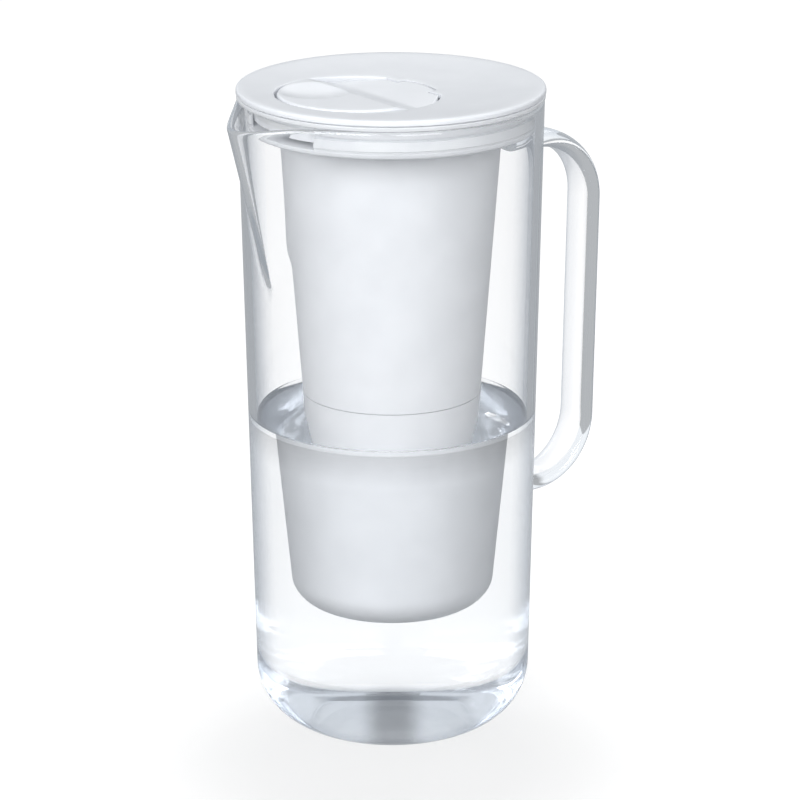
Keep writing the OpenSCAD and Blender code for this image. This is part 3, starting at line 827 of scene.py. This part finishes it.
FINISHES = (
    (WHITE, ("reservoir_cup", "cartridge_housing", "cartridge_cap")),
    (PLUG, ("lid_plug",)),
    (SEAL, ("collar_seal", "lid_gasket", "flap_seal")),
    (DARK_SEAL, ("neck_seal",)),
    (STEEL, ("hinge_pin",)),
    (SCREEN, ("inlet_screen", "outlet_screen")),
    (FELT, ("inlet_felt", "divider_felt", "outlet_felt")),
    (CARBON, ("carbon_bed",)),
    (RESIN, ("resin_bed",)),
)
for finish, names in FINISHES:
    for name in names:
        mesh = nodes[name].data
        mesh.materials.clear()
        mesh.materials.append(finish)


# Floor, world, lamps and camera ---------------------------------------------------------------

VIEW_TURN = math.radians(35.4)  # turn of the object against the camera
VIEW_BACK, VIEW_H = 1344.78, 570.04
VIEW_YAW, VIEW_PITCH, VIEW_ROLL = 0.0024, 0.31407, -0.00216
FOCAL_PX, IMAGE_PX = 3561.5, 800
SENSOR = 36.0
CLIP_FROM = 0.05             # metres

FLOOR_HALF, FLOOR_SINK = 6000.0, 0.05
FLOOR_GREY = 0.5
FLOOR_GLOW_IN_PAINTED_SHADOW, FLOOR_GLOW = 0.42, 0.76  # glow in the painted shadow near the object, and away from it
PAINTED_SHADOW_NEAR, PAINTED_SHADOW_FAR = 0.04, 0.17       # metres over which the glow changes out of the painted shadow
PAINTED_SHADOW_FRONT = 0.055          # metres in front of the axis at which the glow is lowest: the middle of the painted shadow
COOL = (0.93, 0.965, 1.0, 1)
MIRRORED_FLOOR = 0.5         # glow of the floor in mirrors
MIRRORED_DIM, MIRRORED_BRIGHT = 0.4, 1.0  # level in mirrors: ahead or behind, and at the sides
BOX_FROM, BOX_TO = 0.03, 0.14          # how far to the side one turns into the other
SOFT_LIGHT, SOFT_LEVEL = (0.97, 0.985, 1.0, 1), 0.32  # light from all round
LAMP_AIM = 0.15              # metres above the floor


def build_floor():
    """White floor that keeps the shadow; its glow is lower in front of the object, a painted shadow.
    Dim in mirrors.
    """
    corners = [(x * FLOOR_HALF, y * FLOOR_HALF, -FLOOR_SINK)
               for x, y in ((-1, -1), (1, -1), (1, 1), (-1, 1))]
    obj = mesh_object("floor", corners, [[0, 1, 2, 3]])
    material, n = new_material("floor")
    matt = n.add("ShaderNodeBsdfDiffuse", Color=(FLOOR_GREY, FLOOR_GREY, FLOOR_GREY, 1)).outputs["BSDF"]
    path = n.add("ShaderNodeLightPath")
    place = n.add("ShaderNodeTexCoord").outputs["Object"]
    painted_shadow_middle = (-PAINTED_SHADOW_FRONT * math.sin(VIEW_TURN), -PAINTED_SHADOW_FRONT * math.cos(VIEW_TURN), 0)
    off = n.vector("SUBTRACT", place, painted_shadow_middle).outputs["Vector"]
    away = n.combine("ShaderNodeVectorMath", {"operation": "LENGTH"}, off).outputs["Value"]
    # Painted shadow: the floor's glow is lower near the object, most of all in front of it.
    level = n.add("ShaderNodeMapRange", {"interpolation_type": "SMOOTHSTEP"}, Value=away,
                  From_Min=PAINTED_SHADOW_NEAR, From_Max=PAINTED_SHADOW_FAR, To_Min=FLOOR_GLOW_IN_PAINTED_SHADOW, To_Max=FLOOR_GLOW)
    strength = n.math("MULTIPLY", looked_at(n, path), level.outputs["Result"])
    glow = n.add("ShaderNodeEmission", Strength=strength).outputs["Emission"]
    both = n.combine("ShaderNodeAddShader", {}, matt, glow).outputs["Shader"]
    dim = n.add("ShaderNodeEmission", Color=COOL, Strength=MIRRORED_FLOOR).outputs["Emission"]
    surface(n, n.mix(after_mirror(n, path), both, dim))
    obj.data.materials.append(material)


def looked_at(n, path):
    """1 for what the camera sees, also through clear plastic or in a mirror, and 0 for soft light."""
    looked = n.math("MAXIMUM", path.outputs["Is Camera Ray"], path.outputs["Is Glossy Ray"])
    return n.math("MAXIMUM", looked, path.outputs["Is Transmission Ray"])


def after_mirror(n, path):
    """1 where what is seen has been mirrored on its way, outside or inside the plastic."""
    mirrored = n.math("MINIMUM", path.outputs["Glossy Depth"], 1.0)
    return n.math("MULTIPLY", looked_at(n, path), mirrored)


def side_boxes(n):
    """Level of the surroundings in mirrors: dim ahead and behind, bright at the left and right."""
    direction = n.add("ShaderNodeTexCoord").outputs["Generated"]
    rightward = (math.cos(VIEW_TURN), -math.sin(VIEW_TURN), 0)
    side = n.math("ABSOLUTE", n.vector("DOT_PRODUCT", direction, rightward).outputs["Value"])
    node = n.add("ShaderNodeMapRange", {"interpolation_type": "SMOOTHSTEP"}, Value=side,
                 From_Min=BOX_FROM, From_Max=BOX_TO, To_Min=MIRRORED_DIM, To_Max=MIRRORED_BRIGHT)
    return node.outputs["Result"]


def build_world():
    """White surroundings, with side boxes in mirrors and plain soft light from all round."""
    world = bpy.data.worlds.new("studio")
    bpy.context.scene.world = world
    world.use_nodes = True
    n = Nodes(world.node_tree)
    path = n.add("ShaderNodeLightPath")
    soft, plain, boxes = [
        n.add("ShaderNodeBackground", Color=colour, Strength=strength).outputs["Background"]
        for colour, strength in ((SOFT_LIGHT, SOFT_LEVEL), ((1, 1, 1, 1), 1.0), (COOL, side_boxes(n)))]
    seen = n.mix(looked_at(n, path), soft, plain)
    out = n.add("ShaderNodeOutputWorld")
    n.set(out, "Surface", n.mix(after_mirror(n, path), seen, boxes))


def lamp(name, turn, rise, distance, size, power, through=True):
    """Soft square lamp aimed at the object, with its distance and size in metres.

    turn is in degrees to the right of the camera, rise in degrees above the floor. Without
    through, the lamp isn't seen through the plastic.
    """
    t = math.radians(turn) - math.pi / 2 - VIEW_TURN
    e = math.radians(rise)
    place = Vector((math.cos(t) * math.cos(e), math.sin(t) * math.cos(e), math.sin(e))) * distance
    data = bpy.data.lights.new(name, "AREA")
    data.shape = "SQUARE"
    data.size = size
    data.energy = power
    obj = bpy.data.objects.new(name, data)
    bpy.context.scene.collection.objects.link(obj)
    obj.location = place + UP * LAMP_AIM
    obj.rotation_mode = "QUATERNION"
    obj.rotation_quaternion = (-place).to_track_quat("-Z", "Y")
    obj.visible_transmission = through


def build_camera():
    """Camera at the photograph's place, fitted to the rim, the base and the handle."""
    fwd = Vector((math.sin(VIEW_YAW) * math.cos(VIEW_PITCH), math.cos(VIEW_YAW) * math.cos(VIEW_PITCH),
                  -math.sin(VIEW_PITCH)))
    right = Vector((math.cos(VIEW_YAW), -math.sin(VIEW_YAW), 0))
    up = right.cross(fwd)
    right, up = (right * math.cos(VIEW_ROLL) + up * math.sin(VIEW_ROLL),
                 up * math.cos(VIEW_ROLL) - right * math.sin(VIEW_ROLL))
    axes = Matrix((right, up, -fwd)).transposed().to_4x4()
    axes.translation = Vector((0, -VIEW_BACK * MM, VIEW_H * MM))
    data = bpy.data.cameras.new("camera")
    data.sensor_width = SENSOR
    data.lens = SENSOR * FOCAL_PX / IMAGE_PX
    data.clip_start = CLIP_FROM
    obj = bpy.data.objects.new("camera", data)
    bpy.context.scene.collection.objects.link(obj)
    obj.matrix_world = Matrix.Rotation(-VIEW_TURN, 4, "Z") @ axes
    bpy.context.scene.camera = obj


build_floor()
build_world()
build_camera()
lamp("key", turn=-32, rise=35, distance=2.0, size=1.1, power=25)
lamp("fill", turn=22, rise=35, distance=2.0, size=1.1, power=18)
lamp("back", turn=175, rise=33, distance=2.2, size=0.9, power=3, through=False)
bpy.context.scene.view_settings.view_transform = "Standard"
cycles = bpy.context.scene.cycles
cycles.max_bounces = 40
cycles.glossy_bounces = 40
cycles.transmission_bounces = 40
cycles.transparent_max_bounces = 24
cycles.caustics_reflective = False
cycles.caustics_refractive = False
